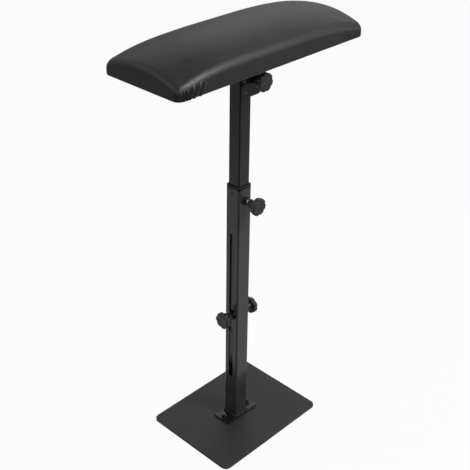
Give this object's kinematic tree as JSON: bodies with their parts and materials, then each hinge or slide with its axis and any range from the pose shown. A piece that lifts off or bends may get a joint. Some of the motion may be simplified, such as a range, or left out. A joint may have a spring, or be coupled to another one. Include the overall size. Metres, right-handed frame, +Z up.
{
  "type": "tattoo arm rest stand",
  "caption": "Free-standing tattoo arm rest: a crowned black cushion on a tilting bracket, carried by a telescoping square post with clamping knobs on a flat steel base plate.",
  "frame": {"origin": "centre of the base plate's underside, on the axis of the post", "axes": "+Z up along the post, X along the cushion, -Y towards the height knob and the tilt knob"},
  "size_m": [0.41, 0.195, 0.777],
  "materials": {
    "black_coat": "semi-gloss black powder coat",
    "black_zinc": "black passivated zinc",
    "bright_zinc": "bright zinc plate",
    "brass": "turned brass",
    "black_nylon": "moulded black nylon",
    "knob_plastic": "moulded black thermoset",
    "red_fibre": "vulcanised fibre",
    "leatherette": "black imitation leather, low sheen",
    "foam": "open-cell upholstery foam",
    "plywood": "raw plywood",
    "lining_cloth": "black non-woven lining"
  },
  "bodies": {
    "stand": {"base_plate": "black_coat", "post_flange": "black_coat", "flange_screws": "black_zinc", "flange_washers": "black_zinc", "flange_nuts": "black_zinc", "post_weld": "black_coat", "outer_tube": "black_coat", "guide_collar": "black_nylon", "clamp_nut": "black_coat"},
    "mast": {"inner_tube": "black_coat", "inner_tube_plug": "black_nylon", "cross_bolt": "bright_zinc", "slot_washers": "black_zinc", "pivot_barrel": "black_coat", "barrel_weld": "black_coat"},
    "head": {"tilt_bracket": "black_coat", "pivot_washers": "red_fibre", "tilt_bolt": "bright_zinc", "tilt_washer": "black_zinc", "pad_screws": "bright_zinc", "pad_tee_nuts": "bright_zinc", "pad_board": "plywood", "pad_foam": "foam", "pad_cover": "leatherette", "backing_cloth": "lining_cloth", "cover_staples": "bright_zinc"},
    "height_screw": {"height_stud": "bright_zinc"},
    "height_grip": {"height_knob": "knob_plastic"},
    "left_screw": {"left_knob_insert": "brass"},
    "left_grip": {"left_knob": "knob_plastic"},
    "right_screw": {"right_knob_insert": "brass"},
    "right_grip": {"right_knob": "knob_plastic"},
    "tilt_screw": {"tilt_knob_insert": "brass"},
    "tilt_grip": {"tilt_knob": "knob_plastic"}
  },
  "joints": [
    {"name": "height", "type": "slide", "parent": "stand", "child": "mast", "axis": [0, 0, 1], "range_m": [-0.133, 0.167]},
    {"name": "tilt", "type": "hinge", "parent": "mast", "child": "head", "pos_m": [0, 0, 0.692], "axis": [0, 1, 0], "range_deg": [-90, 90]},
    {"name": "height_screw_travel", "type": "slide", "parent": "stand", "child": "height_screw", "axis": [0, -1, 0], "range_m": [0, 0.0025]},
    {"name": "height_knob_turn", "type": "hinge", "parent": "height_screw", "child": "height_grip", "pos_m": [0, -0.026, 0.472], "axis": [0, -1, 0], "range_deg": [0, 720]},
    {"name": "left_screw_travel", "type": "slide", "parent": "mast", "child": "left_screw", "axis": [-1, 0, 0], "range_m": [0, 0.0025]},
    {"name": "left_knob_turn", "type": "hinge", "parent": "left_screw", "child": "left_grip", "pos_m": [-0.01665, 0, 0.236], "axis": [-1, 0, 0], "range_deg": [0, 720]},
    {"name": "right_screw_travel", "type": "slide", "parent": "mast", "child": "right_screw", "axis": [1, 0, 0], "range_m": [0, 0.0025]},
    {"name": "right_knob_turn", "type": "hinge", "parent": "right_screw", "child": "right_grip", "pos_m": [0.01665, 0, 0.236], "axis": [1, 0, 0], "range_deg": [0, 720]},
    {"name": "tilt_screw_travel", "type": "slide", "parent": "head", "child": "tilt_screw", "axis": [0, -1, 0], "range_m": [0, 0.0025]},
    {"name": "tilt_knob_turn", "type": "hinge", "parent": "tilt_screw", "child": "tilt_grip", "pos_m": [0, -0.0326, 0.692], "axis": [0, -1, 0], "range_deg": [0, 720]}
  ],
  "couplings": [
    {"joint": "height_knob_turn", "follows": "height_screw_travel", "rad_per_m": 5026.5},
    {"joint": "left_knob_turn", "follows": "left_screw_travel", "rad_per_m": 5026.5},
    {"joint": "right_knob_turn", "follows": "right_screw_travel", "rad_per_m": 5026.5},
    {"joint": "tilt_knob_turn", "follows": "tilt_screw_travel", "rad_per_m": 5026.5}
  ]
}
